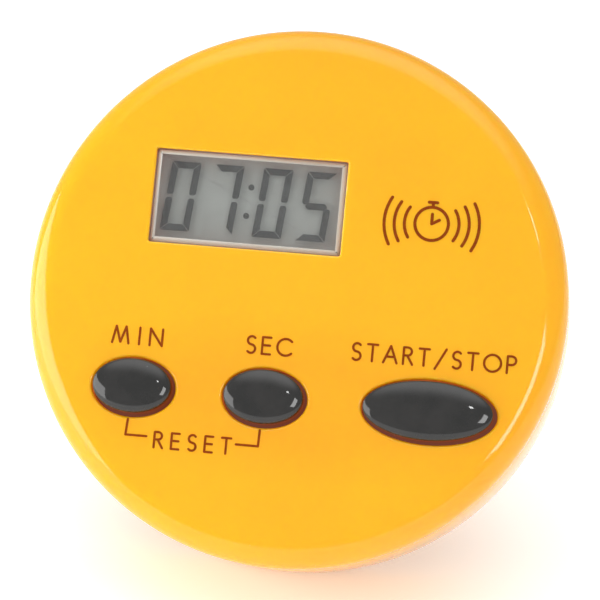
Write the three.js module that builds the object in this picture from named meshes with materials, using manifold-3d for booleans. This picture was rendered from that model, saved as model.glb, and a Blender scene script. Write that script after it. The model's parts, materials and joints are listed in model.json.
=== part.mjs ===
// Round digital kitchen timer, standing on a table on its open fold-out stand. Millimetres.
//
// Every piece is first laid out in the timer's own frame: +X to the right across the face, +Y up
// the face, +Z out of the face, the flat back at z = 0. The whole timer is then leaned back and set
// down, so that +Z is up, -Y is the side that the face looks towards, and the origin is at the
// bottom centre of its box.
import * as THREE from 'three';
import { mergeVertices } from 'three/addons/utils/BufferGeometryUtils.js';
import Module from 'manifold-3d';

const wasm = await Module();
wasm.setup();

// ---- driving dimensions -------------------------------------------------------------------------

const GAP = 0.3; // clearance between two pieces that touch or run on each other
const EPS = 1; // how far a cutting tool runs past the face it cuts
const DEG = Math.PI / 180;

// body
const RADIUS = 35;
const DEPTH = 24;
const WALL = 2;
const SHOULDER = 3.5; // radius of the rounded edge round the face
const HEEL = 2.5; // radius of the rounded edge round the back
const CROWN = 0.6; // how much higher the middle of the face is than its edge
const PARTING = 19; // height of the joint line between the two shells
const FACE_IN = DEPTH - WALL;
const TONGUE = { inner: 32, outer: 32.7, top: 20.8 };

// how it stands
const LEAN = 32 * DEG; // the face leans back from upright
const TABLE_CUT = 0.35; // depth of the small flat on the lower rear edge

// display
const SCREEN = { x0: -19.6, x1: 5.35, y0: 5.35, y1: 17.65 };
const LENS_TOP = 23.35;
const LENS_FLANGE = { z0: 21.9, z1: 22.5, lip: 1.5 };
const REBATE = 22.8; // round the window the wall is thinned from inside, up to this height
const GLASS = { x0: -20.6, x1: 6.3, y0: 2.6, y1: 18.75 };
const LAYERS = {
  polariser: [21.45, 21.6],
  frontGlass: [20.8, 21.35],
  rearGlass: [20.15, 20.7],
  reflector: [19.85, 20.05],
  holderTop: 21.6,
  holderFloor: 19.6,
};
const LEDGE_Y = 5; // the rear glass stops here, and the front glass goes on as a contact ledge

// buttons: the hole's half axes, and where the button is
const BUTTON_Y = -13.6;
const BUTTONS = [
  { name: 'min', x: -19.6, a: 5.45, b: 3.85 },
  { name: 'sec', x: -2.6, a: 5.5, b: 3.85 },
  { name: 'start_stop', x: 18.5, a: 8.7, b: 4.15 },
];
const BUTTON_TOP = 25.05;
const BUTTON_FLANGE = { z0: 20.7, z1: 21.7, lip: 1.2 };
const BUTTON_FOOT = 19.75;

// electronics
const BOARD = { radius: 30.5, z0: 15.6, z1: 16.8 };
const SHEET = { z0: 17.1, z1: 17.9, halfHeight: 5.6, x0: -26.1, x1: 26.1 };
const DOME_TOP = 19.4;
const PILL = { z0: 17.75, z1: 18.3 };
const PART_TOP = BOARD.z0 - GAP; // the board's components end here, just clear of its underside
const BUZZER = { x: -22, y: -9, radius: 6, z: 3 };

// fasteners
const PILLARS = [
  [28, 1.5],
  [-28, 1.5],
  [18.2, -22.6],
  [-18.2, -22.6],
];
const POSTS = [
  [0, 22.5],
  [22.5, -2.2],
  [-22.5, -2.2],
];

// battery bay and its door
const CELL = { y: 15.4, z: 8.3, radius: 5.25, x0: -20.6, body: 43.3, nub: 1.2, nubRadius: 2.75 };
const DOOR = { halfWidth: 25, tongue: 1.6, y0: 11, thick: 2.6, lip: 1.6 };
const BAY = { x: 25.4, wall: 1.6, y0: 10.7, y1: 22.15, top: 14.5 };

// stand
const HINGE = { y: 6.8, z: 2 };
const STAND = { halfWidth: 12, back: -1.8, front: 1.4, knuckle: 1.7, pin: 1.2, pinReach: 14 };
const RECESS = { halfWidth: 12.5, top: 9.5, depth: 4, radius: 30.8, wall: 1.5, roof: 5.2 };
const OPEN = 44 * DEG; // how far the stand is swung out of its recess
const MAGNET = { y: -17, radius: 8, back: -1.75, front: 0.3 };

// ---- materials ----------------------------------------------------------------------------------

function plastic(colour, roughness) {
  return new THREE.MeshStandardMaterial({ color: colour, roughness, metalness: 0 });
}

function metal(colour, roughness) {
  return new THREE.MeshStandardMaterial({ color: colour, roughness, metalness: 1 });
}

const material = {
  yellow: plastic('#fab932', 0.28),
  charcoal: plastic('#44423f', 0.22),
  clear: new THREE.MeshStandardMaterial({
    color: '#eef2f0',
    roughness: 0.05,
    transparent: true,
    opacity: 0.3,
  }),
  glass: new THREE.MeshStandardMaterial({ color: '#b9c4bd', roughness: 0.05 }),
  reflector: plastic('#828a82', 0.5),
  holder: plastic('#e9e7e0', 0.5),
  rubber: plastic('#8f9391', 0.8),
  carbon: plastic('#1d1d1f', 0.85),
  board: plastic('#2f6b3a', 0.55),
  resin: plastic('#141414', 0.35),
  steel: metal('#b9bcc0', 0.3),
  brass: metal('#c9a24a', 0.35),
  ceramic: plastic('#e4ddcb', 0.6),
  ferrite: plastic('#3a3431', 0.7),
  resistor: plastic('#c8a878', 0.5),
  red: plastic('#a5231f', 0.5),
  black: plastic('#19191a', 0.5),
  cell: metal('#3f6f8f', 0.35),
  magnet: metal('#4b4b4e', 0.45),
};

// ---- geometry helpers ---------------------------------------------------------------------------

/** A closed three.js geometry as a solid that can be cut and joined. */
function solid(geometry) {
  const bare = geometry.clone();
  bare.deleteAttribute('normal');
  bare.deleteAttribute('uv');
  const merged = mergeVertices(bare, 1e-5);
  const index = merged.index.array;
  return new wasm.Manifold(
    new wasm.Mesh({
      numProp: 3,
      vertProperties: new Float32Array(merged.attributes.position.array),
      triVerts: new Uint32Array(index),
    }),
  );
}

/** A solid as a three.js geometry. */
function geometryOf(body) {
  const mesh = body.getMesh();
  const geometry = new THREE.BufferGeometry();
  geometry.setAttribute('position', new THREE.BufferAttribute(mesh.vertProperties, 3));
  geometry.setIndex(new THREE.BufferAttribute(mesh.triVerts, 1));
  geometry.computeVertexNormals();
  return geometry;
}

/** Base shape with every geometry of one list joined on and every one of another cut away. */
function build(base, { add = [], cut = [] } = {}) {
  let body = base instanceof wasm.Manifold ? base : solid(base);
  for (const shape of add) {
    body = body.add(shape instanceof wasm.Manifold ? shape : solid(shape));
  }
  for (const shape of cut) {
    body = body.subtract(shape instanceof wasm.Manifold ? shape : solid(shape));
  }
  return body;
}

function block(x0, x1, y0, y1, z0, z1) {
  const geometry = new THREE.BoxGeometry(x1 - x0, y1 - y0, z1 - z0);
  return geometry.translate((x0 + x1) / 2, (y0 + y1) / 2, (z0 + z1) / 2);
}

/** An upright cylinder, or a cone frustum when the two radii differ. */
function disc(x, y, radius, z0, z1, { topRadius = radius, sides = 20 } = {}) {
  const geometry = new THREE.CylinderGeometry(topRadius, radius, z1 - z0, sides);
  return geometry.rotateX(Math.PI / 2).translate(x, y, (z0 + z1) / 2);
}

/** A cylinder along X. */
function rod(y, z, radius, x0, x1, sides = 20) {
  const geometry = new THREE.CylinderGeometry(radius, radius, x1 - x0, sides);
  return geometry.rotateZ(Math.PI / 2).translate((x0 + x1) / 2, y, z);
}

/** A solid of revolution about Z from [radius, z] points, bottom first, on the outside going up. */
function turned(points, sides = 16) {
  const profile = points.map(([radius, z]) => new THREE.Vector2(radius, z));
  return new THREE.LatheGeometry(profile, sides).rotateX(Math.PI / 2);
}

/** Points of a circular arc in the [radius, z] plane, both ends included. */
function arc(centreRadius, centreZ, radius, from, to, steps) {
  return Array.from({ length: steps + 1 }, (_, i) => {
    const angle = (from + ((to - from) * i) / steps) * DEG;
    return [centreRadius + radius * Math.cos(angle), centreZ + radius * Math.sin(angle)];
  });
}

/** A six-sided wire that follows a smooth curve through some points. */
function wire(points, radius, steps) {
  const curve = new THREE.CatmullRomCurve3(points.map((p) => new THREE.Vector3(...p)));
  const section = new THREE.Shape().absarc(0, 0, radius, 0, 2 * Math.PI);
  return new THREE.ExtrudeGeometry(section, {
    extrudePath: curve,
    steps,
    curveSegments: 3,
    bevelEnabled: false,
  });
}

/** A prism from an outline in the XY plane. */
function prism(shape, z0, z1, curveSegments = 10) {
  const geometry = new THREE.ExtrudeGeometry(shape, {
    depth: z1 - z0,
    bevelEnabled: false,
    curveSegments,
  });
  return geometry.translate(0, 0, z0);
}

function piece(name, shape, look, position = [0, 0, 0]) {
  const geometry = shape instanceof wasm.Manifold ? geometryOf(shape) : shape;
  const mesh = new THREE.Mesh(geometry, look);
  mesh.name = name;
  mesh.position.set(...position);
  return mesh;
}

// ---- the two shells -----------------------------------------------------------------------------

const SHELL_SIDES = 60;
const HEEL_STEPS = 4;

/** Height of the crowned face at a distance from the middle. */
function faceHeight(radius) {
  const edge = RADIUS - SHOULDER;
  return DEPTH - CROWN * (radius / edge) ** 2;
}

/** The table's surface in the timer's own frame: everything with this height or less is below it. */
const LOWEST = -(RADIUS - HEEL) * Math.cos(LEAN) + HEEL * Math.sin(LEAN) - HEEL;
const TABLE = LOWEST + TABLE_CUT;

/** A big block under the table. tilt turns it about X, and height is where its top face is. */
function belowTable(tilt, height) {
  const SIZE = 60;
  const slab = new THREE.BoxGeometry(SIZE, SIZE, SIZE).translate(0, 0, height - SIZE / 2);
  return slab.rotateX(tilt - Math.PI / 2);
}

/** The back's outer shape as a full solid, up to a height. */
function backEnvelope(top) {
  return turned(
    [[0, 0], ...arc(RADIUS - HEEL, HEEL, HEEL, -90, 0, HEEL_STEPS), [RADIUS, top], [0, top]],
    SHELL_SIDES,
  );
}

function frontHousing() {
  const edge = RADIUS - SHOULDER;
  const inner = RADIUS - WALL;
  const corner = SHOULDER - WALL;
  const CROWN_RINGS = 3;
  const crown = Array.from({ length: CROWN_RINGS }, (_, i) => {
    const radius = (edge * (CROWN_RINGS - 1 - i)) / CROWN_RINGS;
    return [Math.max(radius, 0), faceHeight(radius)];
  });
  crown[CROWN_RINGS - 1] = [0, DEPTH];
  const shell = turned(
    [
      [0, FACE_IN],
      ...arc(inner - corner, FACE_IN - corner, corner, 90, 0, 1),
      [inner, PARTING + GAP / 2],
      [RADIUS, PARTING + GAP / 2],
      ...arc(edge, faceHeight(edge) - SHOULDER, SHOULDER, 0, 90, 5),
      ...crown,
    ],
    SHELL_SIDES,
  );
  const pillars = PILLARS.map(([x, y]) => disc(x, y, 2.6, 8.8, FACE_IN + 0.5, { sides: 16 }));
  const posts = POSTS.map(([x, y]) => disc(x, y, 2.2, 17.1, FACE_IN + 0.5, { sides: 16 }));
  const holes = BUTTONS.map(({ x, a, b }) => ovalPrism(x, a, b, FACE_IN - EPS, DEPTH + EPS));
  const rebate = LENS_FLANGE.lip + GAP;
  return build(shell, {
    add: [...pillars, ...posts],
    cut: [
      block(SCREEN.x0, SCREEN.x1, SCREEN.y0, SCREEN.y1, FACE_IN - EPS, DEPTH + EPS),
      block(
        SCREEN.x0 - rebate,
        SCREEN.x1 + rebate,
        SCREEN.y0 - rebate,
        SCREEN.y1 + rebate,
        FACE_IN - EPS,
        REBATE,
      ),
      ...holes,
      ...PILLARS.map(([x, y]) => disc(x, y, 1.3, 8, 17, { sides: 12 })),
      ...POSTS.map(([x, y]) => disc(x, y, 0.95, 17, 20.8, { sides: 10 })),
    ],
  });
}

function rearHousing() {
  const inner = RADIUS - WALL;
  const corner = 1.5;
  const shell = turned(
    [
      [0, 0],
      ...arc(RADIUS - HEEL, HEEL, HEEL, -90, 0, HEEL_STEPS),
      [RADIUS, PARTING - GAP / 2],
      [TONGUE.outer, PARTING - GAP / 2],
      [TONGUE.outer, TONGUE.top],
      [TONGUE.inner, TONGUE.top],
      [TONGUE.inner, PARTING - 1],
      [inner, PARTING - 1.7],
      ...arc(inner - corner, WALL + corner, corner, 0, -90, 1),
      [0, WALL],
    ],
    SHELL_SIDES,
  );
  const floor = 0.5; // the ribs start inside the back wall
  const side = RECESS.halfWidth + RECESS.wall;
  const bayEnd = BAY.x + BAY.wall;
  const ribs = [
    block(-side, side, -RADIUS, BAY.y0, floor, RECESS.roof),
    block(-15.9, 15.9, HINGE.y - 2.4, HINGE.y + 2.4, floor, 4.4),
    disc(RECESS.halfWidth, -10, 6.2, floor, 4.2),
    ...PILLARS.map(([x, y]) => disc(x, y, 3.4, floor, 8.4, { sides: 16 })),
    disc(BUZZER.x, BUZZER.y, BUZZER.radius + 1, floor, 4.4),
    block(-bayEnd, bayEnd, BAY.y1 - 1.2, BAY.y1, 3.2, 12.5),
    ...[-1, 1].flatMap((s) => [
      block(...[s * BAY.x, s * bayEnd].sort((p, q) => p - q), BAY.y0, BAY.y1, floor, BAY.top),
      block(...[s * 25.2, s * 29].sort((p, q) => p - q), BAY.y0, 26, floor, 4.4),
    ]),
  ].map(solid);
  const inside = solid(disc(0, 0, inner + 0.1, 0.2, TONGUE.top - 2, { sides: SHELL_SIDES }));
  const joined = ribs.reduce((all, rib) => all.add(rib)).intersect(inside);
  const recess = solid(
    block(-RECESS.halfWidth, RECESS.halfWidth, -RADIUS, RECESS.top, -EPS, RECESS.depth),
  ).intersect(solid(disc(0, 0, RECESS.radius, -EPS, RECESS.depth, { sides: SHELL_SIDES })));
  const slot = DOOR.halfWidth + GAP;
  const groove = slot + DOOR.tongue;
  const SOUND_HOLES = 6;
  const soundHoles = [
    [0, 0],
    ...Array.from({ length: SOUND_HOLES }, (_, i) => {
      const angle = (2 * Math.PI * i) / SOUND_HOLES;
      return [3 * Math.cos(angle), 3 * Math.sin(angle)];
    }),
  ];
  return build(shell, {
    add: [joined],
    cut: [
      recess,
      rod(HINGE.y, HINGE.z, STAND.pin + GAP, -STAND.pinReach - GAP, STAND.pinReach + GAP),
      disc(RECESS.halfWidth, -10, 5, -EPS, 3),
      ...PILLARS.flatMap(([x, y]) => [
        disc(x, y, 2.5, -EPS, 2.6, { sides: 20 }),
        disc(x, y, 1.4, -EPS, 9, { sides: 12 }),
      ]),
      disc(BUZZER.x, BUZZER.y, BUZZER.radius + GAP, BUZZER.z - GAP, 5),
      disc(BUZZER.x, BUZZER.y, BUZZER.radius - 0.8, WALL, 5),
      ...soundHoles.map(([x, y]) =>
        disc(BUZZER.x + x, BUZZER.y + y, 0.6, -EPS, WALL + EPS, { sides: 10 }),
      ),
      block(-slot, slot, DOOR.y0 - GAP, RADIUS + EPS, -EPS, DOOR.thick + GAP),
      block(-groove, groove, DOOR.y0 - GAP, RADIUS + EPS, 1.3, DOOR.thick + GAP),
      belowTable(LEAN, TABLE),
    ],
  });
}

// ---- display ------------------------------------------------------------------------------------

function lcdWindow() {
  const { z0, z1, lip } = LENS_FLANGE;
  const BEVEL = 0.4;
  const inset = GAP - 0.05 + BEVEL;
  const raised = new THREE.Shape([
    new THREE.Vector2(SCREEN.x0 + inset, SCREEN.y0 + inset),
    new THREE.Vector2(SCREEN.x1 - inset, SCREEN.y0 + inset),
    new THREE.Vector2(SCREEN.x1 - inset, SCREEN.y1 - inset),
    new THREE.Vector2(SCREEN.x0 + inset, SCREEN.y1 - inset),
  ]);
  const lens = new THREE.ExtrudeGeometry(raised, {
    depth: LENS_TOP - z1 - BEVEL + 0.2,
    bevelSize: BEVEL,
    bevelThickness: BEVEL,
    bevelSegments: 1,
  }).translate(0, 0, z1 - 0.2);
  const flange = block(
    SCREEN.x0 - lip,
    SCREEN.x1 + lip,
    SCREEN.y0 - lip,
    SCREEN.y1 + lip,
    z0,
    z1,
  );
  return build(flange, { add: [lens] });
}

function lcdHolder() {
  const margin = 0.3;
  const rim = 1.8;
  const x0 = GLASS.x0 - margin;
  const x1 = GLASS.x1 + margin;
  const y0 = GLASS.y0 - margin;
  const y1 = GLASS.y1 + margin;
  return build(block(x0 - rim, x1 + rim, y0 - 0.9, y1 + 0.9, BOARD.z1 + GAP, LAYERS.holderTop), {
    cut: [
      block(x0, x1, y0, y1, LAYERS.holderFloor, LAYERS.holderTop + EPS),
      block(-19.6, 5.9, 2.45, 4.75, BOARD.z1, LAYERS.holderFloor + EPS),
    ],
  });
}

function displayPieces() {
  const { x0, x1, y0, y1 } = GLASS;
  const { polariser, frontGlass, rearGlass, reflector } = LAYERS;
  const film = (from, heights) => block(x0 + 0.25, x1 - 0.25, from, y1 - 0.2, ...heights);
  return [
    piece('lcd_window', lcdWindow(), material.clear),
    piece('front_polariser', film(4.8, polariser), material.glass),
    piece('front_glass', block(x0, x1, y0, y1, ...frontGlass), material.glass),
    piece('rear_glass', block(x0, x1, LEDGE_Y, y1, ...rearGlass), material.glass),
    piece('reflector', film(5.2, reflector), material.reflector),
    piece('lcd_holder', lcdHolder(), material.holder),
    piece('zebra_strip', block(-19.3, 5.6, 2.75, 4.45, 16.95, frontGlass[0] - 0.2), material.rubber),
  ];
}

// ---- buttons and keypad -------------------------------------------------------------------------

const OVAL_SIDES = 24;

/** An upright oval column at the buttons' height on the face; top scales its upper outline. */
function ovalPrism(x, a, b, z0, z1, top = 1) {
  const unit = disc(0, 0, 1, z0, z1, { topRadius: top, sides: OVAL_SIDES });
  return unit.scale(a, b, 1).translate(x, BUTTON_Y, 0);
}

/** A button about its own centre line: a crowned cap, a retaining flange and a foot. */
function buttonCap({ a, b }) {
  const capA = a - GAP - 0.05;
  const capB = b - GAP - 0.05;
  const cap = turned(
    [
      [0, BUTTON_FOOT],
      [1, BUTTON_FOOT],
      [1, BUTTON_TOP - 1.1],
      [0.92, BUTTON_TOP - 0.55],
      [0.6, BUTTON_TOP - 0.14],
      [0, BUTTON_TOP],
    ],
    OVAL_SIDES,
  ).scale(capA, capB, 1);
  const { z0, z1, lip } = BUTTON_FLANGE;
  const flange = disc(0, 0, 1, z0, z1, { sides: OVAL_SIDES }).scale(capA + lip, capB + lip, 1);
  return build(cap, { add: [flange] });
}

/** A silicone sheet with a hollow dome under each button. */
function keypadMembrane() {
  const { z0, z1, halfHeight, x0, x1 } = SHEET;
  const outline = new THREE.Shape()
    .absarc(x1 - halfHeight, BUTTON_Y, halfHeight, -Math.PI / 2, Math.PI / 2)
    .absarc(x0 + halfHeight, BUTTON_Y, halfHeight, Math.PI / 2, 1.5 * Math.PI);
  const domes = BUTTONS.map(({ x, a, b }) => ovalPrism(x, a - 1, b, z0 + 0.2, DOME_TOP, 0.8));
  const hollows = BUTTONS.map(({ x, a, b }) =>
    ovalPrism(x, (a - 1) * 0.88, b * 0.86, z0 - EPS, DOME_TOP - 0.8, 0.72),
  );
  return build(prism(outline, z0, z1, 5), { add: domes, cut: hollows });
}

function keypadPieces() {
  const caps = BUTTONS.map((button) =>
    piece(`${button.name}_button`, buttonCap(button), material.charcoal, [button.x, BUTTON_Y, 0]),
  );
  const pills = BUTTONS.map(({ name, x, a, b }) => {
    const pill = disc(0, 0, 1, PILL.z0, PILL.z1, { sides: 20 }).scale(a * 0.4, b * 0.4, 1);
    return piece(`${name}_contact_pill`, pill, material.carbon, [x, BUTTON_Y, 0]);
  });
  return [...caps, ...pills, piece('keypad_membrane', keypadMembrane(), material.rubber)];
}

// ---- board and its components -------------------------------------------------------------------

function mainBoard() {
  return build(disc(0, 0, BOARD.radius, BOARD.z0, BOARD.z1, { sides: 48 }), {
    cut: [
      ...PILLARS.map(([x, y]) => disc(x, y, 3.3, BOARD.z0 - EPS, BOARD.z1 + EPS, { sides: 20 })),
      ...POSTS.map(([x, y]) => disc(x, y, 1.1, BOARD.z0 - EPS, BOARD.z1 + EPS, { sides: 12 })),
    ],
  });
}

/** Potting resin over the controller chip: a shallow dome that hangs under the board. */
function chipBlob() {
  const HEIGHT = 1.3;
  return turned([
    [0, PART_TOP - HEIGHT],
    [2.4, PART_TOP - HEIGHT * 0.9],
    [4.2, PART_TOP - HEIGHT * 0.5],
    [5, PART_TOP],
    [0, PART_TOP],
  ]);
}

/** A drum-shaped winding with a flange at each end. */
function boostCoil() {
  const HEIGHT = 5;
  return turned([
    [0, PART_TOP - HEIGHT],
    [3, PART_TOP - HEIGHT],
    [3, PART_TOP - HEIGHT + 0.8],
    [2.5, PART_TOP - HEIGHT + 1.1],
    [2.5, PART_TOP - 1.1],
    [3, PART_TOP - 0.8],
    [3, PART_TOP],
    [0, PART_TOP],
  ]);
}

/** A half-round transistor case. */
function transistorCase() {
  const outline = new THREE.Shape().absarc(0, 0, 2.3, -0.3 * Math.PI, 1.3 * Math.PI);
  return prism(outline, PART_TOP - 4.6, PART_TOP, 6);
}

/** The can of an electrolytic capacitor with its crimped waist. */
function electrolyticCan() {
  const HEIGHT = 5.4;
  return turned([
    [0, PART_TOP - HEIGHT],
    [2.3, PART_TOP - HEIGHT],
    [2.5, PART_TOP - HEIGHT + 0.3],
    [2.5, PART_TOP - 1.3],
    [2.25, PART_TOP - 1],
    [2.5, PART_TOP - 0.7],
    [2.5, PART_TOP],
    [0, PART_TOP],
  ]);
}

/** A small resistor body lying along X: thicker at its ends. */
function resistorBody() {
  const profile = [
    [0, -2.2],
    [0.95, -2.2],
    [1, -1.4],
    [0.75, -1],
    [0.75, 1],
    [1, 1.4],
    [0.95, 2.2],
    [0, 2.2],
  ];
  return turned(profile, 10).rotateY(Math.PI / 2);
}

function boardPieces() {
  const lying = PART_TOP - 1.1; // height of the axis of a component that lies along the board
  const disk = disc(0, 0, 2.2, -0.9, 0.9, { sides: 20 }).rotateX(Math.PI / 2);
  return [
    piece('main_board', mainBoard(), material.board),
    piece('controller_chip', chipBlob(), material.resin, [4, -3, 0]),
    piece('crystal', rod(0, 0, 1, -3, 3, 16), material.steel, [-7, -3, lying]),
    piece('electrolytic_capacitor', electrolyticCan(), material.black, [13, -10, 0]),
    piece('ceramic_capacitor', disk, material.resistor, [-8, -10, PART_TOP - 2.2]),
    piece('resistor_1', resistorBody(), material.resistor, [2, -12, lying]),
    piece('resistor_2', resistorBody(), material.resistor, [2, -15, lying]),
    piece('transistor', transistorCase(), material.resin, [-8, -17, 0]),
    piece('boost_coil', boostCoil(), material.ferrite, [14, 1.5, 0]),
  ];
}

// ---- buzzer -------------------------------------------------------------------------------------

function buzzerPieces() {
  const { radius, z } = BUZZER;
  const place = [BUZZER.x, BUZZER.y, 0];
  const wireRadius = 0.4;
  const fromPlate = [
    [-27, -9, z + 0.95],
    [-27, -9, 8],
    [-23, -6.5, 12.5],
    [-20.5, -5.5, PART_TOP],
  ];
  const fromCeramic = [
    [-22, -9, z + 1.25],
    [-21.5, -8.5, 8],
    [-17.5, -5, 12],
    [-16.5, -4, PART_TOP],
  ];
  return [
    piece('buzzer_plate', disc(0, 0, radius, z, z + 0.25, { sides: 32 }), material.brass, place),
    piece('buzzer_ceramic', disc(0, 0, 4.2, z + 0.35, z + 0.6), material.ceramic, place),
    piece('buzzer_wire_black', wire(fromPlate, wireRadius, 12), material.black),
    piece('buzzer_wire_red', wire(fromCeramic, wireRadius, 12), material.red),
  ];
}

// ---- battery ------------------------------------------------------------------------------------

const CONTACT = { x: 24.5, thick: 0.4, y0: 11.2, y1: 19.8, z0: 4.2, z1: 13.2 };

/** A contact leaf with a solder tab at its top. */
function contactLeaf(x0, x1) {
  const { y0, y1, z0, z1 } = CONTACT;
  return build(block(x0, x1, y0, y1, z0, z1), {
    add: [block(x0, x1, y0 + 0.3, y0 + 2.8, z1 - 0.5, z1 + 1.6)],
  });
}

/** The conical spring that presses on the flat end of the cell, with its leaf. */
function springContact() {
  const TURNS = 3;
  const STEPS = 10;
  const start = -CONTACT.x - 0.1;
  const end = CELL.x0 - GAP - 0.4;
  const points = Array.from({ length: TURNS * STEPS + 1 }, (_, i) => {
    const t = i / (TURNS * STEPS);
    const angle = 2 * Math.PI * TURNS * t;
    const radius = 4 - 1.8 * t;
    return [
      start + (end - start) * t,
      CELL.y + radius * Math.cos(angle),
      CELL.z + radius * Math.sin(angle),
    ];
  });
  return build(contactLeaf(-CONTACT.x - CONTACT.thick, -CONTACT.x), {
    add: [wire(points, 0.35, TURNS * STEPS)],
  });
}

function batteryPieces() {
  const { radius, x0, body, nub, nubRadius } = CELL;
  const cell = turned([
    [0, 0],
    [radius - 0.4, 0],
    [radius, 0.4],
    [radius, body - 0.5],
    [radius - 0.5, body],
    [nubRadius, body],
    [nubRadius, body + nub],
    [0, body + nub],
  ]).rotateY(Math.PI / 2);
  const wireRadius = 0.4;
  const wireRoute = (s) => [
    [s * 24, 12.6, CONTACT.z1 + 1.1],
    [s * 22.5, 10.5, CONTACT.z1 + 0.9],
    [s * 20, 7.5, CONTACT.z1 + 1.1],
    [s * 19, 6.8, PART_TOP],
  ];
  return [
    piece('battery_cell', cell, material.cell, [x0, CELL.y, CELL.z]),
    piece('positive_contact', contactLeaf(CONTACT.x, CONTACT.x + CONTACT.thick), material.steel),
    piece('negative_contact', springContact(), material.steel),
    piece('battery_wire_red', wire(wireRoute(1), wireRadius, 10), material.red),
    piece('battery_wire_black', wire(wireRoute(-1), wireRadius, 10), material.black),
  ];
}

/** The door runs out over the rim, so its outer end carries on the shape of the back. */
function batteryDoor() {
  const { halfWidth, tongue, y0, thick, lip } = DOOR;
  const wide = halfWidth + tongue;
  const GRIP_RIBS = 4;
  const slab = build(block(-halfWidth, halfWidth, y0, RADIUS, 0, thick), {
    add: [block(-wide, wide, y0, RADIUS, lip, thick)],
  }).intersect(solid(backEnvelope(thick)));
  return build(slab, {
    cut: [
      block(-halfWidth + 1.5, halfWidth - 1.5, y0 + 1.5, 21.5, lip, thick + EPS),
      ...Array.from({ length: GRIP_RIBS }, (_, i) =>
        block(-7 + i * 0.8, 7 - i * 0.8, 23.4 + i * 1.8, 24.2 + i * 1.8, -EPS, 0.4),
      ),
    ],
  });
}

// ---- stand --------------------------------------------------------------------------------------

/** The stand about its hinge axis, as it lies folded flat. The table's plane cuts its foot. */
function standPaddle() {
  const { halfWidth, back, front, knuckle, pin, pinReach } = STAND;
  const outline = solid(block(-halfWidth, halfWidth, -RADIUS - HINGE.y, 0, back, front)).intersect(
    solid(disc(0, -HINGE.y, RECESS.radius - 0.5, back, front, { sides: SHELL_SIDES })),
  );
  const hingeHeight = HINGE.y * Math.cos(LEAN) + HINGE.z * Math.sin(LEAN);
  return build(outline, {
    add: [
      rod(0, 0, knuckle, -halfWidth, halfWidth),
      block(-halfWidth, halfWidth, -EPS, 2.2, -0.9, 0.3),
      rod(0, 0, pin, -pinReach, pinReach, 16),
    ],
    cut: [
      disc(0, MAGNET.y, MAGNET.radius + GAP, back - EPS, MAGNET.front + GAP, { sides: 36 }),
      belowTable(LEAN - OPEN, TABLE - hingeHeight),
    ],
  });
}

function stand() {
  const leg = new THREE.Group();
  const { y, radius, back, front } = MAGNET;
  leg.add(
    piece('stand', standPaddle(), material.yellow),
    piece('magnet', disc(0, 0, radius, back, front, { sides: 36 }), material.magnet, [0, y, 0]),
  );
  leg.position.set(0, HINGE.y, HINGE.z);
  leg.rotation.x = OPEN;
  return leg;
}

// ---- fasteners ----------------------------------------------------------------------------------

/** A pan-head self-tapping screw, head down, its head's flat face at the given height. */
function screw(headRadius, headZ, headHeight, shankRadius, tipZ) {
  return turned(
    [
      [0, headZ],
      [headRadius * 0.75, headZ],
      [headRadius, headZ + headHeight * 0.5],
      [headRadius, headZ + headHeight],
      [shankRadius, headZ + headHeight],
      [shankRadius, tipZ - shankRadius * 2],
      [0, tipZ],
    ],
    10,
  );
}

function screws() {
  const housing = PILLARS.map(([x, y], i) =>
    piece(`housing_screw_${i + 1}`, screw(2.2, 0.9, 1.4, 1, 16), material.steel, [x, y, 0]),
  );
  const board = POSTS.map(([x, y], i) =>
    piece(`board_screw_${i + 1}`, screw(1.7, 14.1, 1.2, 0.65, 20.3), material.steel, [x, y, 0]),
  );
  return [...housing, ...board];
}

// ---- assembly -----------------------------------------------------------------------------------

const timer = new THREE.Group();
timer.add(
  piece('front_housing', frontHousing(), material.yellow),
  piece('rear_housing', rearHousing(), material.yellow),
  ...displayPieces(),
  ...keypadPieces(),
  ...boardPieces(),
  ...buzzerPieces(),
  ...batteryPieces(),
  piece('battery_door', batteryDoor(), material.yellow),
  stand(),
  ...screws(),
);
timer.rotation.x = Math.PI / 2 - LEAN;

const group = new THREE.Group();
group.add(timer);
const box = new THREE.Box3().setFromObject(group, true);
timer.position.set(-(box.min.x + box.max.x) / 2, -(box.min.y + box.max.y) / 2, -box.min.z);

export default group;
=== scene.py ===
"""A round digital kitchen timer on its fold-out stand: its visible surfaces, materials, light and camera.

Shapes are laid out in the timer's own frame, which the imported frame's joints give: x to the right across
the face, y up the face, z out of the face, with the flat back at z = 0. Sizes are in millimetres until
mesh_object() turns them into metres."""

import json
import math

import bmesh
import bpy
from mathutils import Matrix, Vector
from mathutils.geometry import delaunay_2d_cdt


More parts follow.
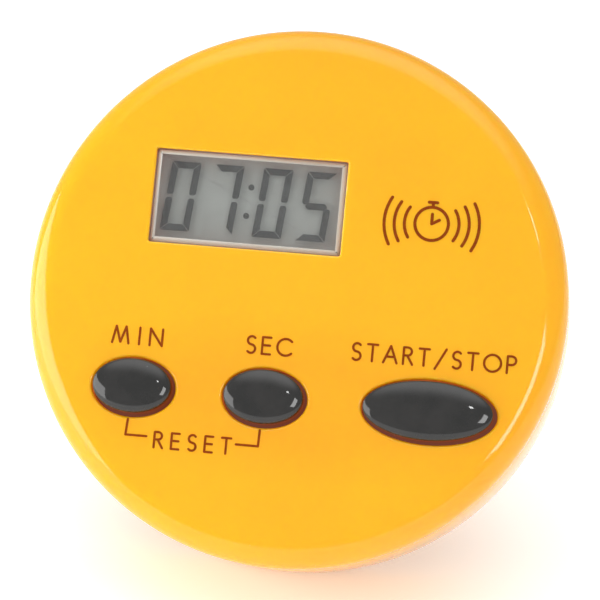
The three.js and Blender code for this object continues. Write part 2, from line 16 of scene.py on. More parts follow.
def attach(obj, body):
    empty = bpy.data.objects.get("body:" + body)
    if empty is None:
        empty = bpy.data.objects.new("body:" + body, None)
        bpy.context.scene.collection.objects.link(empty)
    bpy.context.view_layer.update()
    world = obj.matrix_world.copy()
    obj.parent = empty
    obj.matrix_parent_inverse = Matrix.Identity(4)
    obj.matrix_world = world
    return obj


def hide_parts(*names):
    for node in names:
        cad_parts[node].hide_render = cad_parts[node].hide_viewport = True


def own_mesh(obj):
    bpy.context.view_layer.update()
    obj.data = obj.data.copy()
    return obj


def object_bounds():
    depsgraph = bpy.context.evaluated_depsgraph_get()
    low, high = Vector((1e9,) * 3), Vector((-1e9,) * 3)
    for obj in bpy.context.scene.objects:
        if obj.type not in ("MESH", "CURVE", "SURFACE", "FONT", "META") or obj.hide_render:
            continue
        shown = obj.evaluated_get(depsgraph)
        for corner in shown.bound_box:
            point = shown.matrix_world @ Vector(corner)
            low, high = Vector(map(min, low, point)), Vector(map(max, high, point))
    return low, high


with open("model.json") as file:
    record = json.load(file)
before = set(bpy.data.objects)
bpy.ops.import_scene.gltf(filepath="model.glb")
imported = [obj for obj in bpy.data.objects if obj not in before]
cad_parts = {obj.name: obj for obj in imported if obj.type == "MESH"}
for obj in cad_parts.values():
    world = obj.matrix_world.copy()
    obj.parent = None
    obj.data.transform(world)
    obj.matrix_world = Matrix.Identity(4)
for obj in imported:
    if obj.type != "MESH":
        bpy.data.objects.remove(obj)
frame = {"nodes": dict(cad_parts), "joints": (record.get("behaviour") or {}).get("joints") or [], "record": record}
cad_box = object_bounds()

# ---- sizes, in millimetres ---------------------------------------------------------------------------

MM = 0.001
SIDES = 240  # round the shells

RADIUS = 35.0
DEPTH = 24.0
WALL = 2.0
SHOULDER = 3.5  # radius of the rounded edge round the face
HEEL = 2.5  # radius of the rounded edge round the back
CROWN = 0.6  # how much higher the middle of the face is than its edge
EDGE = RADIUS - SHOULDER
INNER = RADIUS - WALL
FACE_IN = DEPTH - WALL
PARTING = 19.0
SEAM = 0.15  # half the width of the groove between the shells
TONGUE = {"inner": 32.0, "outer": 32.7, "top": 20.8}

SCREEN = {"x0": -19.6, "x1": 5.35, "y0": 5.35, "y1": 17.65}
GLASS = {"x0": -20.6, "x1": 6.3, "y0": 2.6, "y1": 18.75}
LEDGE_Y = 5.0  # the rear glass stops here, and the front glass goes on as a contact ledge
LENS_TOP = 23.35
LENS_FLANGE = {"z0": 21.9, "z1": 22.5, "lip": 1.5}
REBATE = 22.8  # round the window the wall is thinned from inside, up to this height
LAYERS = {
    "polariser": (21.45, 21.6),
    "front": (20.8, 21.35),
    "rear": (20.15, 20.7),
    "reflector": (19.85, 20.05),
}
BUTTON_Y = -13.6
BUTTON_TOP = 25.05
BUTTONS = {  # where each is, and its hole's half axes
    "min": {"x": -19.6, "a": 5.45, "b": 3.85},
    "sec": {"x": -2.6, "a": 5.5, "b": 3.85},
    "start_stop": {"x": 18.5, "a": 8.7, "b": 4.15},
}
PILLARS = [(28.0, 1.5), (-28.0, 1.5), (18.2, -22.6), (-18.2, -22.6)]
POSTS = [(0.0, 22.5), (22.5, -2.2), (-22.5, -2.2)]
BUZZER = {"x": -22.0, "y": -9.0, "radius": 6.0}
CELL = {"y": 15.4, "z": 8.3, "radius": 5.25, "x0": -20.6, "body": 43.3, "nub": 1.2, "nub_radius": 2.75}
CONTACT = {"x": 24.5, "thick": 0.4, "y0": 11.2, "y1": 19.8, "z0": 4.2, "z1": 13.2}
DOOR = {"half": 25.0, "tongue": 1.6, "y0": 11.0, "thick": 2.6, "lip": 1.6}
BAY = {"x": 25.4, "wall": 1.6, "y0": 10.7, "y1": 22.15, "top": 14.5}
HINGE = {"y": 6.8, "z": 2.0}
OPEN = math.radians(44)
STAND = {"half": 12.0, "back": -1.8, "front": 1.4, "knuckle": 1.7, "pin": 1.2, "reach": 14.0}
RECESS = {"half": 12.5, "top": 9.5, "depth": 4.0, "radius": 30.8, "wall": 1.5, "roof": 5.2}
MAGNET = {"y": -17.0, "radius": 8.0, "back": -1.75, "front": 0.3}
GAP = 0.3  # round every piece that fits into another

# ---- where the timer stands --------------------------------------------------------------------------

joints = {joint["name"]: joint for joint in frame["joints"]}
right = Vector((1, 0, 0))
up = Vector(joints["battery_door_slide"]["axis"])
out = -Vector(joints["min_press"]["axis"])
origin = Vector(joints["stand_hinge"]["pos_m"]) - (up * HINGE["y"] + out * HINGE["z"]) * MM
TIMER = Matrix.Translation(origin) @ Matrix((right, up, out)).transposed().to_4x4()
LEG = TIMER @ Matrix.Translation(Vector((0, HINGE["y"], HINGE["z"])) * MM) @ Matrix.Rotation(OPEN, 4, "X")


def face_height(x, y):
    """Height of the crowned face."""
    return DEPTH - CROWN * (x * x + y * y) / EDGE**2


def back_height(x, y):
    """Height of the flat back."""
    return 0.0


# ---- meshes ------------------------------------------------------------------------------------------


def mesh_object(name, verts, faces, smooth=35):
    """A mesh in millimetres as an object in metres. Edges sharper than smooth degrees stay sharp."""
    mesh = bpy.data.meshes.new(name)
    mesh.from_pydata([tuple(c * MM for c in v) for v in verts], [], faces)
    obj = bpy.data.objects.new(name, mesh)
    bpy.context.scene.collection.objects.link(obj)
    shade(obj, smooth)
    return obj


def shade(obj, smooth=35):
    """Welds the mesh, points its faces outwards and shades it by angle."""
    mesh = bmesh.new()
    mesh.from_mesh(obj.data)
    bmesh.ops.remove_doubles(mesh, verts=mesh.verts, dist=1e-7)
    bmesh.ops.recalc_face_normals(mesh, faces=mesh.faces)
    limit = math.radians(smooth)
    for face in mesh.faces:
        face.smooth = True
    for edge in mesh.edges:
        edge.smooth = len(edge.link_faces) == 2 and edge.calc_face_angle(math.pi) < limit
    mesh.to_mesh(obj.data)
    mesh.free()


def combine(base, tools, operation="DIFFERENCE", smooth=35):
    """Cuts, joins or intersects a mesh with others, which are used up."""
    for tool in tools:
        modifier = base.modifiers.new("tool", "BOOLEAN")
        modifier.operation = operation
        modifier.solver = "MANIFOLD"
        modifier.object = tool
    depsgraph = bpy.context.evaluated_depsgraph_get()
    mesh = bpy.data.meshes.new_from_object(base.evaluated_get(depsgraph))
    base.modifiers.clear()
    base.data = mesh
    for tool in tools:
        bpy.data.objects.remove(tool)
    shade(base, smooth)
    return base


def moved(obj, matrix):
    """The object with its mesh moved."""
    obj.data.transform(matrix)
    return obj


def arc(cx, cy, radius, start, end, steps):
    """Points of a circular arc, in degrees, both ends included."""
    angles = [math.radians(start + (end - start) * i / steps) for i in range(steps + 1)]
    return [(cx + radius * math.cos(a), cy + radius * math.sin(a)) for a in angles]


def oval(x, y, a, b=None, sides=64):
    """An ellipse's outline, as a function of how far it is pushed outwards."""
    b = b or a
    turns = [2 * math.pi * i / sides for i in range(sides)]
    return lambda grow=0.0: [(x + (a + grow) * math.cos(t), y + (b + grow) * math.sin(t)) for t in turns]


def rounded(x0, x1, y0, y1, corner, steps=6):
    """A rounded rectangle's outline, as a function of how far it is pushed outwards."""
    centres = [(x1 - corner, y1 - corner), (x0 + corner, y1 - corner)]
    centres += [(x0 + corner, y0 + corner), (x1 - corner, y0 + corner)]

    def outline(grow=0.0):
        arcs = [arc(*c, corner + grow, 90 * i, 90 * i + 90, steps) for i, c in enumerate(centres)]
        return [point for points in arcs for point in points]

    return outline


def loft(name, rings, smooth=35):
    """A closed skin through rings of equally many points, with flat ends."""
    count = len(rings[0])
    verts = [point for ring in rings for point in ring]
    faces = [tuple(reversed(range(count))), tuple(range(len(verts) - count, len(verts)))]
    for low in range(0, len(verts) - count, count):
        for i in range(count):
            j = (i + 1) % count
            faces.append((low + i, low + j, low + count + j, low + count + i))
    return mesh_object(name, verts, faces, smooth)


def turned(name, profile, sides=SIDES, x=0.0, y=0.0, smooth=35):
    """A solid of revolution about z from (radius, height) points, from axis to axis."""
    verts, faces, rings = [], [], []
    for radius, z in profile:
        if radius < 1e-6:
            rings.append([len(verts)] * sides)
            verts.append((x, y, z))
        else:
            rings.append(range(len(verts), len(verts) + sides))
            turns = [2 * math.pi * i / sides for i in range(sides)]
            verts += [(x + radius * math.cos(t), y + radius * math.sin(t), z) for t in turns]
    for low, high in zip(rings, rings[1:]):
        for i in range(sides):
            j = (i + 1) % sides
            corners = tuple(dict.fromkeys((low[i], low[j], high[j], high[i])))
            if len(corners) > 2:
                faces.append(corners)
    return mesh_object(name, verts, faces, smooth)


def slab(name, outline, low, high, soft_low=0.0, soft_high=0.0, smooth=35):
    """A plate between two heights, with its edges rounded by soft_low and soft_high."""
    STEPS = 4
    rings = []
    for height, soft, side in ((low, soft_low, 1), (high, soft_high, -1)):
        turns = [math.pi / 2 * k / STEPS for k in range(STEPS + 1)] if soft else [math.pi / 2]
        edge = []
        for t in turns:
            z = height + side * soft * (1 - math.cos(t))
            edge.append([(x, y, z) for x, y in outline(-soft * (1 - math.sin(t)))])
        rings += edge[::side]
    return loft(name, rings, smooth)


def box(x0, x1, y0, y1, z0, z1, soft=0.0):
    """A block, with its upright edges and its top and bottom edges rounded by soft."""
    outline = rounded(x0, x1, y0, y1, soft + 1e-3, 4 if soft else 1)
    return slab("block", outline, z0, z1, soft, soft)


def drill(outline, floor, lip, surface=face_height, side=1):
    """A cutter for a hole with a rounded rim, from floor out through a surface. side is 1 if out is up."""
    LAST = 82  # degrees: the rim ends a little short of the surface's own slope, so that the cut is clean
    STEPS = 5
    CLEAR = 4.0
    turns = [math.radians(LAST * k / STEPS) for k in range(STEPS + 1)]
    rim = [(lip * (1 - math.cos(t)), lip * (1 - math.sin(t))) for t in turns]
    grow, drop = rim[-1]
    run = 0.3 * lip
    rim.append((grow + run * math.sin(turns[-1]), drop - run * math.cos(turns[-1])))
    rings = [[(x, y, floor) for x, y in outline()]]
    rings += [[(x, y, surface(x, y) - side * drop) for x, y in outline(grow)] for grow, drop in rim]
    rings.append([(x, y, surface(x, y) + side * CLEAR) for x, y in outline(rim[-1][0])])
    return loft("drill", rings)


def rod(y, z, radius, x0, x1, sides=48, soft=0.0):
    """A cylinder along x with rounded ends."""
    ends = [(0, x0), *arc(radius - soft, x0 + soft, soft, -90, 0, 4)] if soft else [(0, x0), (radius, x0)]
    tips = [*arc(radius - soft, x1 - soft, soft, 0, 90, 4), (0, x1)] if soft else [(radius, x1), (0, x1)]
    lying = Matrix.Translation(Vector((0, y, z)) * MM) @ Matrix.Rotation(math.pi / 2, 4, "Y")
    return moved(turned("rod", ends + tips, sides), lying)


def tube(name, points, radius, sides=16):
    """A round wire through some points."""
    path = [Vector(p) for p in points]
    side = (path[1] - path[0]).orthogonal()
    rings = []
    for i, point in enumerate(path):
        along = (path[min(i + 1, len(path) - 1)] - path[max(i - 1, 0)]).normalized()
        side = (side - along * side.dot(along)).normalized()
        other = along.cross(side)
        turns = [2 * math.pi * k / sides for k in range(sides)]
        rings.append([tuple(point + radius * (side * math.cos(t) + other * math.sin(t))) for t in turns])
    return loft(name, rings)


def inlay(name, polygons, low, high):
    """A thin closed plate over polygons that may overlap. low and high give its heights at (x, y)."""
    points = [Vector(point) for polygon in polygons for point in polygon]
    outlines, start = [], 0
    for polygon in polygons:
        outlines.append(list(range(start, start + len(polygon))))
        start += len(polygon)
    flat, _, cover, _, _, sources = delaunay_2d_cdt(points, [], outlines, 1, 1e-4)
    triangles = [triangle for triangle, source in zip(cover, sources) if source]
    count = len(flat)
    verts = [(x, y, high(x, y)) for x, y in flat] + [(x, y, low(x, y)) for x, y in flat]
    faces = [tuple(t) for t in triangles] + [tuple(count + i for i in reversed(t)) for t in triangles]
    edges = dict.fromkeys((a, b) for t in triangles for a, b in zip(t, t[1:] + t[:1]))
    faces += [(b, a, count + a, count + b) for a, b in edges if (b, a) not in edges]
    return mesh_object(name, verts, faces, smooth=30)


def below_table(matrix):
    """Everything under the table, in the frame that the matrix places in the row frame."""
    under = box(-60, 60, -60, 60, -60, 0)
    return moved(under, matrix.inverted())


def show(obj, body, look, replaced=(), place=TIMER):
    """Sets a piece down on a body of the frame."""
    obj.data.materials.clear()
    obj.data.materials.append(look)
    obj.matrix_world = place
    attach(obj, body)
    if replaced:
        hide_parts(*replaced)
    return obj


# ---- materials ---------------------------------------------------------------------------------------


class Look:
    """A procedural material, laid out in its piece's own coordinates."""

    def __init__(self, name):
        self.material = bpy.data.materials.new(name)
        self.material.use_nodes = True
        self.tree = self.material.node_tree
        self.shader = self.tree.nodes["Principled BSDF"]
        self.place = self.add("TexCoord").outputs["Object"]

    def add(self, kind, inputs=None, **settings):
        """A new node. inputs are values or other nodes' outputs."""
        made = self.tree.nodes.new("ShaderNode" + kind)
        for key, value in settings.items():
            setattr(made, key, value)
        for key, value in (inputs or {}).items():
            self.feed(made.inputs[key], value)
        return made

    def feed(self, socket, value):
        if isinstance(value, bpy.types.NodeSocket):
            self.tree.links.new(value, socket)
        else:
            socket.default_value = value

    def set(self, **values):
        """Sets the shader's sockets; Base_Color stands for "Base Color"."""
        for key, value in values.items():
            self.feed(self.shader.inputs[key.replace("_", " ")], value)

    def noise(self, size, detail=2.0, stretch=(1, 1, 1), turn=0.0):
        """Noise with features about size millimetres across."""
        vector = self.place
        if stretch != (1, 1, 1):
            scaled = {"Vector": vector, "Rotation": (0, 0, math.radians(turn)), "Scale": stretch}
            vector = self.add("Mapping", scaled).outputs[0]
        inputs = {"Vector": vector, "Scale": 1 / (size * MM), "Detail": detail}
        return self.add("TexNoise", inputs).outputs[0]

    def ramp(self, value, low, high, to_low=0.0, to_high=1.0):
        """value from low..high as to_low..to_high, and no further."""
        inputs = {0: value, 1: low, 2: high, 3: to_low, 4: to_high}
        return self.add("MapRange", inputs).outputs[0]

    def math(self, operation, a, b=0.0):
        return self.add("Math", {0: a, 1: b}, operation=operation).outputs[0]

    def mix(self, factor, a, b):
        """A colour between two others."""
        return self.add("Mix", {0: factor, 6: a, 7: b}, data_type="RGBA").outputs[2]

    def dust(self, spacing, size):
        """1 on small specks scattered about spacing millimetres apart."""
        cells = self.add("TexVoronoi", {"Vector": self.place, "Scale": 1 / (spacing * MM)})
        near = self.ramp(cells.outputs["Distance"], size / spacing, 0.4 * size / spacing)
        picked = self.ramp(self.add("SeparateColor", {0: cells.outputs["Color"]}).outputs[0], 0.6, 0.7)
        return self.math("MULTIPLY", near, picked)

    def scratches(self, turn, size=0.25):
        """1 along fine hairlines that run at turn degrees."""
        lines = self.noise(size, 1.0, (1, 0.02, 1), turn)
        patches = self.noise(9, 1.0)
        fine = self.ramp(lines, 0.68, 0.74)
        return self.math("MULTIPLY", fine, self.ramp(patches, 0.52, 0.6))

    def bump(self, *layers):
        """Bump from (height, millimetres) layers."""
        normal = None
        for height, distance in layers:
            inputs = {"Height": height, "Distance": distance * MM, "Strength": 1.0}
            if normal is not None:
                inputs["Normal"] = normal
            normal = self.add("Bump", inputs).outputs[0]
        self.set(Normal=normal)


def srgb(r, g, b, a=1.0):
    """A colour given as on a screen, 0 to 255, in linear light."""
    linear = [c / 3294.6 if c <= 10.31 else ((c / 255 + 0.055) / 1.055) ** 2.4 for c in (r, g, b)]
    return (*linear, a)


def yellow_plastic(name, glow=False):
    """Glossy moulded ABS. With glow it gets painted warm shade round the buttons, and its openings' walls emit a
    painted glow.
    """
    look = Look(name)
    light, deep = srgb(236, 172, 9), srgb(236, 141, 18)
    cloud = look.ramp(look.noise(14, 3.0), 0.35, 0.65, 0.0, 0.12)
    if glow:
        # painted warm shade: the colour turns deeper orange towards the buttons' row
        row = {"Vector": look.place, "Location": (0, 0.041, 0), "Scale": (1, 3, 0)}  # the buttons' row
        offset = look.add("Mapping", row).outputs[0]
        distance = look.add("VectorMath", {0: offset}, operation="LENGTH").outputs["Value"]
        cloud = look.math("ADD", cloud, look.ramp(distance, 0.016, 0.034, 0.28, 0.0))
        # painted glow: the walls of the openings, below the face's surface, emit orange light
        flat = look.add("Mapping", {"Vector": look.place, "Scale": (1, 1, 0)}).outputs[0]
        radius = look.add("VectorMath", {0: flat}, operation="LENGTH").outputs["Value"]
        height = look.add("SeparateXYZ", {0: look.place}).outputs[2]
        below = look.ramp(height, 0.0233, 0.0226)
        inside = look.math("MULTIPLY", below, look.ramp(radius, 0.0312, 0.0306))
        painted_glow_strength = look.math("MULTIPLY", inside, 0.9)
        look.set(Emission_Color=srgb(176, 74, 14), Emission_Strength=painted_glow_strength)
    base = look.mix(cloud, light, deep)
    dust = look.dust(7, 0.12)
    marks = look.math("MAXIMUM", look.scratches(24), look.scratches(-61))
    look.set(Base_Color=look.mix(look.math("MULTIPLY", dust, 0.6), base, srgb(255, 240, 215)))
    shine = look.ramp(look.noise(5, 4.0), 0.3, 0.7, 0.05, 0.09)
    shine = look.math("ADD", shine, look.math("MULTIPLY", marks, 0.16))
    look.set(Roughness=look.math("ADD", shine, look.math("MULTIPLY", dust, 0.4)), IOR=1.5)
    look.set(Subsurface_Weight=0.8, Subsurface_Scale=0.0024, Subsurface_Radius=(1.0, 0.5, 0.1))
    look.bump((look.noise(1.6, 3.0), 0.0012), (marks, 0.0006), (dust, 0.01))
    return look.material


def charcoal_plastic():
    """Dark glossy moulded ABS with a little dust. Its sides are painted brown and emit orange light, a painted
    reflection of the holes they sit in.
    """
    look = Look("charcoal_plastic")
    dust = look.dust(1.6, 0.07)
    base = look.mix(look.ramp(look.noise(3, 3.0), 0.35, 0.65), srgb(30, 30, 29), srgb(38, 37, 36))
    # painted reflection: below the dome's top the sides turn brown and glow orange
    height = look.add("SeparateXYZ", {0: look.place}).outputs[2]
    sides = look.ramp(height, 0.0239, 0.0234)
    base = look.mix(sides, base, srgb(66, 28, 6))
    look.set(Emission_Color=srgb(120, 50, 10), Emission_Strength=look.math("MULTIPLY", sides, 0.6))
    look.set(Base_Color=look.mix(look.math("MULTIPLY", dust, 0.7), base, srgb(150, 150, 150)))
    marks = look.scratches(35, 0.18)
    shine = look.ramp(look.noise(2.5, 4.0), 0.3, 0.7, 0.035, 0.07)
    look.set(Roughness=look.math("ADD", shine, look.math("MULTIPLY", marks, 0.15)), IOR=1.52)
    look.bump((look.noise(1.1, 2.0), 0.001), (marks, 0.0006), (dust, 0.01))
    return look.material


def clear(name, tint, gloss, roughness, ior=1.49, haze=0.0, rim=0.0):
    """A clear piece that mirrors a little and lets the light through. rim puts a painted highlight on its sloping
    edges, a pale opaque layer.
    """
    look = Look(name)
    smudge = look.noise(4, 3.0)
    look.set(Base_Color=srgb(235, 240, 238), Specular_IOR_Level=0.5, Metallic=0.0)
    fine = look.math("MULTIPLY", look.scratches(12, 0.2), 0.1)
    look.set(Roughness=look.math("ADD", look.ramp(smudge, 0.3, 0.7, roughness, roughness + 0.04), fine))
    mirror = look.add("BsdfGlossy", {"Color": (gloss, gloss, gloss, 1)}).outputs[0]
    look.tree.links.new(look.shader.inputs["Roughness"].links[0].from_socket, mirror.node.inputs["Roughness"])
    through = look.add("BsdfTransparent", {"Color": tint}).outputs[0]
    leaving = look.add("NewGeometry").outputs["Backfacing"]
    index = look.ramp(leaving, 0.0, 1.0, ior, 1 / ior)  # no ray is shut in, because rays run straight on
    fresnel = look.add("Fresnel", {"IOR": index}).outputs[0]
    glass = look.add("MixShader", {0: fresnel, 1: through, 2: mirror}).outputs[0]
    if haze:
        film = look.ramp(look.noise(2.2, 4.0), 0.3, 0.7, 0.5 * haze, 1.5 * haze)
        facing = look.add("SeparateXYZ", {0: look.add("TexCoord").outputs["Normal"]}).outputs[2]
        # painted highlight: by rim, faces that slope away from flat turn pale and opaque
        film = look.math("ADD", film, look.ramp(look.math("ABSOLUTE", facing), 0.97, 0.85, 0.0, rim))
        glass = look.add("MixShader", {0: film, 1: glass, 2: look.shader.outputs[0]}).outputs[0]
    else:
        look.tree.nodes.remove(look.shader)
    look.tree.links.new(glass, look.tree.nodes["Material Output"].inputs["Surface"])
    return look.material


def moulded(name, colour, roughness, grain=0.8, depth=0.004, metallic=0.0, patch=6.0, change=0.75):
    """A plain material with grain millimetres across and depth millimetres deep, and patches of change."""
    look = Look(name)
    darker = (*(c * change for c in colour[:3]), 1)
    cloud = look.ramp(look.noise(patch, 4.0), 0.3, 0.7)
    marks = look.scratches(40)
    look.set(Base_Color=look.mix(cloud, colour, darker), Metallic=metallic)
    shine = look.ramp(look.noise(patch * 0.6, 3.0), 0.3, 0.7, roughness * 0.8, roughness * 1.2)
    look.set(Roughness=look.math("ADD", shine, look.math("MULTIPLY", marks, 0.12)))
    look.bump((look.noise(grain, 3.0), depth), (marks, 0.001))
    return look.material


def printed_ink():
    """Thin dark brown ink, slightly uneven."""
    look = Look("printed_ink")
    cloud = look.ramp(look.noise(0.5, 4.0), 0.3, 0.7)
    look.set(Base_Color=look.mix(cloud, srgb(118, 48, 2), srgb(134, 60, 4)))
    look.set(Roughness=look.ramp(look.noise(0.8), 0.3, 0.7, 0.4, 0.55), Specular_IOR_Level=0.08)
    look.bump((look.noise(0.2, 3.0), 0.002))
    return look.material


def circuit_board():
    """Green solder mask over fine copper traces."""
    look = Look("circuit_board")
    weave = look.add("TexBrick", {"Vector": look.place, "Scale": 260.0, "Mortar Size": 0.03, "Bias": -0.2})
    trace = weave.outputs["Fac"]
    mask = look.mix(look.ramp(look.noise(5, 3.0), 0.3, 0.7), srgb(30, 92, 48), srgb(38, 112, 58))
    look.set(Base_Color=look.mix(trace, mask, srgb(62, 138, 72)))
    look.set(Roughness=look.ramp(look.noise(2), 0, 1, 0.3, 0.5))
    look.bump((trace, 0.03), (look.noise(0.4), 0.004))
    return look.material


def cell_jacket():
    """A printed foil jacket between a bare can's ends."""
    look = Look("cell_jacket")
    along = look.add("SeparateXYZ", {0: look.place}).outputs[0]
    bands = look.add("ValToRGB", {0: look.ramp(along, -0.021, 0.023)})
    ramp = bands.color_ramp
    ramp.interpolation = "CONSTANT"
    steel = srgb(190, 192, 196)
    ramp.elements[0].color = steel
    ramp.elements[1].position = 0.97
    ramp.elements[1].color = steel
    printed_bands = ((0.03, srgb(26, 52, 92)), (0.7, srgb(214, 216, 220)), (0.72, srgb(46, 110, 160)))
    for position, colour in printed_bands:
        ramp.elements.new(position).color = colour
    wear = look.ramp(look.noise(3, 4.0), 0.55, 0.7, 0.0, 0.3)
    look.set(Base_Color=look.mix(wear, bands.outputs[0], steel), Metallic=0.75)
    look.set(Roughness=look.ramp(look.noise(2, 3.0), 0.3, 0.7, 0.22, 0.36))
    look.bump((look.noise(0.6), 0.003))
    return look.material


LOOKS = {
    "yellow_plastic": yellow_plastic("yellow_plastic"),
    "charcoal_plastic": charcoal_plastic(),
    # rim=0.5 paints a highlight on the window's sloping edges
    "clear_plastic": clear("clear_plastic", srgb(254, 254, 254), 1.0, 0.02, haze=0.02, rim=0.5),
    "display_glass": clear("display_glass", srgb(254, 254, 254), 0.12, 0.03),
    "polariser_film": clear("polariser_film", srgb(252, 252, 251), 0.1, 0.12),
    "reflector_film": moulded("reflector_film", srgb(195, 199, 196), 0.45, 0.15, 0.002, 0.0, 3.0, 0.94),
    "white_plastic": moulded("white_plastic", srgb(228, 226, 218), 0.45),
    "silicone": moulded("silicone", srgb(140, 144, 142), 0.7, 0.5, 0.01),
    "carbon_rubber": moulded("carbon_rubber", srgb(30, 30, 32), 0.8, 0.2, 0.01),
    "circuit_board": circuit_board(),
    "black_resin": moulded("black_resin", srgb(22, 22, 22), 0.35, 2.0, 0.02),
    "plated_steel": moulded("plated_steel", srgb(196, 198, 202), 0.26, 0.3, 0.002, 1.0, 2.0, 0.85),
    "brass": moulded("brass", srgb(206, 168, 88), 0.3, 0.3, 0.002, 1.0, 2.0, 0.8),
    "ceramic": moulded("ceramic", srgb(228, 220, 202), 0.55, 0.3, 0.006),
    "ferrite": moulded("ferrite", srgb(56, 50, 48), 0.65, 0.4, 0.015),
    "component_body": moulded("component_body", srgb(198, 164, 116), 0.45, 0.6, 0.006),
    "black_plastic": moulded("black_plastic", srgb(26, 26, 27), 0.42, 0.4, 0.004),
    "red_insulation": moulded("red_insulation", srgb(168, 36, 30), 0.45, 0.4, 0.004),
    "cell_jacket": cell_jacket(),
    "magnet": moulded("magnet", srgb(92, 92, 96), 0.34, 0.5, 0.008, 0.9, 3.0, 0.8),
}
FACE_LOOK = yellow_plastic("yellow_face", glow=True)
INK = printed_ink()

# ---- the two shells ----------------------------------------------------------------------------------


def face_normals(obj):
    """Gives the crowned face its true normals, so that reflections run evenly past the holes."""
    slope = 2 * CROWN / EDGE**2
    normals = []
    for vertex in obj.data.vertices:
        x, y, z = vertex.co / MM
        on_face = math.hypot(x, y) < EDGE and abs(z - face_height(x, y)) < 2e-3
        normals.append(Vector((slope * x, slope * y, 1)).normalized() if on_face else Vector())
    obj.data.normals_split_custom_set_from_vertices(normals)


def front_shell():
    ROUND = 0.22  # edge at the parting line
    low = PARTING + SEAM
    corner = SHOULDER - WALL
    profile = [(0, FACE_IN), *arc(INNER - corner, FACE_IN - corner, corner, 90, 0, 6), (INNER, low)]
    profile += arc(RADIUS - ROUND, low + ROUND, ROUND, -90, 0, 4)
    profile += arc(EDGE, face_height(EDGE, 0) - SHOULDER, SHOULDER, 0, 87.8, 28)
    profile += [(r, face_height(r, 0)) for r in range(int(EDGE), 0, -1)] + [(0, DEPTH)]
    shell = turned("front_shell", profile)
    bosses = [turned("pillar", [(0, 8.8), (2.6, 8.8), (2.6, 22.5), (0, 22.5)], 40, x, y) for x, y in PILLARS]
    bosses += [turned("post", [(0, 17.1), (2.2, 17.1), (2.2, 22.5), (0, 22.5)], 40, x, y) for x, y in POSTS]
    combine(shell, bosses, "UNION")
    rebate = LENS_FLANGE["lip"] + GAP
    wide = (SCREEN["x0"] - rebate, SCREEN["x1"] + rebate, SCREEN["y0"] - rebate, SCREEN["y1"] + rebate)
    holes = [drill(rounded(**SCREEN, corner=0.3), FACE_IN - 1, 0.28), box(*wide, FACE_IN - 1, REBATE)]
    holes += [drill(oval(b["x"], BUTTON_Y, b["a"], b["b"], 128), FACE_IN - 1, 0.35) for b in BUTTONS.values()]
    holes += [turned("pilot", [(0, 8), (1.3, 8), (1.3, 17), (0, 17)], 24, x, y) for x, y in PILLARS]
    holes += [turned("pilot", [(0, 17), (0.95, 17), (0.95, 20.8), (0, 20.8)], 24, x, y) for x, y in POSTS]
    combine(shell, holes)
    face_normals(shell)
    return shell


def recess_outline(grow=0.0):
    """The stand's pocket: straight sides and top, and a round foot."""
    half = RECESS["half"] + grow
    reach = RECESS["radius"] + grow
    foot = math.degrees(math.asin(half / reach))
    top = RECESS["top"] + grow
    soft = 0.5 + grow
    corners = arc(half - soft, top - soft, soft, 0, 90, 5) + arc(soft - half, top - soft, soft, 90, 180, 5)
    return corners + arc(0, 0, reach, 270 - foot, 270 + foot, 24)


